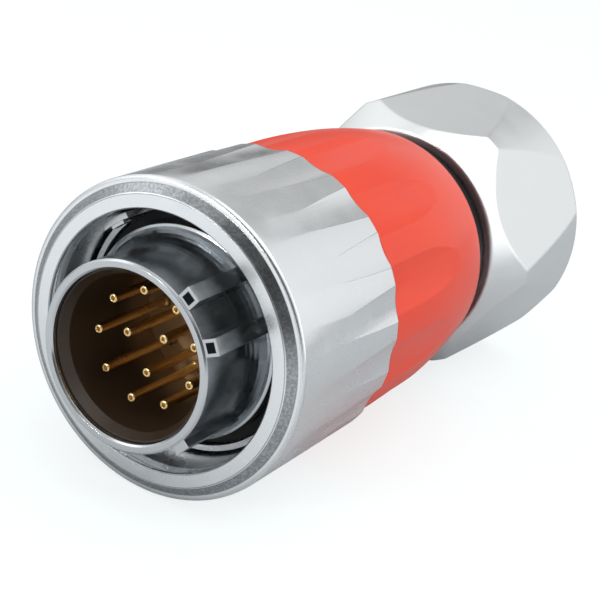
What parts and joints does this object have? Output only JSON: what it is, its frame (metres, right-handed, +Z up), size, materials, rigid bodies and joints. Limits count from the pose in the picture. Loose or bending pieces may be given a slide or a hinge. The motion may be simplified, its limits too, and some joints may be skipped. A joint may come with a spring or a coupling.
{
  "type": "push pull circular connector",
  "caption": "Push pull circular cable plug: keyed barrel round pin contacts, fluted metal sleeve with a red grip ring that slides back, and a hexagonal gland nut.",
  "frame": {"origin": "on the plug's axis at the barrel's front rim", "axes": "+Y along the plug's axis from the mating face to the cable end, +Z up with a flat of the nut underneath, +X to the side"},
  "size_m": [0.0337, 0.0735, 0.0332],
  "materials": {
    "satin_nickel": "satin nickel plate on brass",
    "dark_nickel": "dark nickel plate",
    "spring_steel": "bright spring steel",
    "gold_plate": "gold plated contact",
    "umber_plastic": "dark brown moulding",
    "red_gloss": "glossy red moulding",
    "black_plastic": "black moulding",
    "grey_plastic": "dark grey nylon",
    "black_rubber": "black sealing rubber"
  },
  "bodies": {
    "plug_core": {"barrel_shell": "dark_nickel", "insulator": "umber_plastic", "rear_insulator": "umber_plastic", "insert_ring": "dark_nickel", "contact_pin_01": "gold_plate", "contact_pin_02": "gold_plate", "contact_pin_03": "gold_plate", "contact_pin_04": "gold_plate", "contact_pin_05": "gold_plate", "contact_pin_06": "gold_plate", "contact_pin_07": "gold_plate", "contact_pin_08": "gold_plate", "contact_pin_09": "gold_plate", "contact_pin_10": "gold_plate", "contact_pin_11": "gold_plate", "contact_pin_12": "gold_plate", "front_seal": "black_rubber", "shell_oring": "black_rubber", "latch_ring": "spring_steel", "return_spring": "spring_steel", "spring_washer": "spring_steel", "rear_body": "black_plastic", "cable_seal": "black_rubber", "clamp_collet": "grey_plastic"},
    "coupling": {"coupling_sleeve": "satin_nickel", "grip_ring": "red_gloss"},
    "gland_slip": {"thrust_ring": "spring_steel"},
    "gland": {"gland_nut": "satin_nickel"}
  },
  "joints": [
    {"name": "sleeve_pull", "type": "slide", "parent": "plug_core", "child": "coupling", "axis": [0, 1, 0], "range_m": [0, 0.0022], "stiffness_N_per_m": 2000, "springref_m": -0.003, "deforming": ["return_spring"]},
    {"name": "gland_advance", "type": "slide", "parent": "plug_core", "child": "gland_slip", "axis": [0, 1, 0], "range_m": [0, 0.0046]},
    {"name": "gland_turn", "type": "hinge", "parent": "gland_slip", "child": "gland", "pos_m": [0, 0.063, 0], "axis": [0, 1, 0], "range_deg": [0, 1080]}
  ],
  "couplings": [
    {"joint": "gland_advance", "follows": "gland_turn", "m_per_rad": 0.00023873}
  ]
}
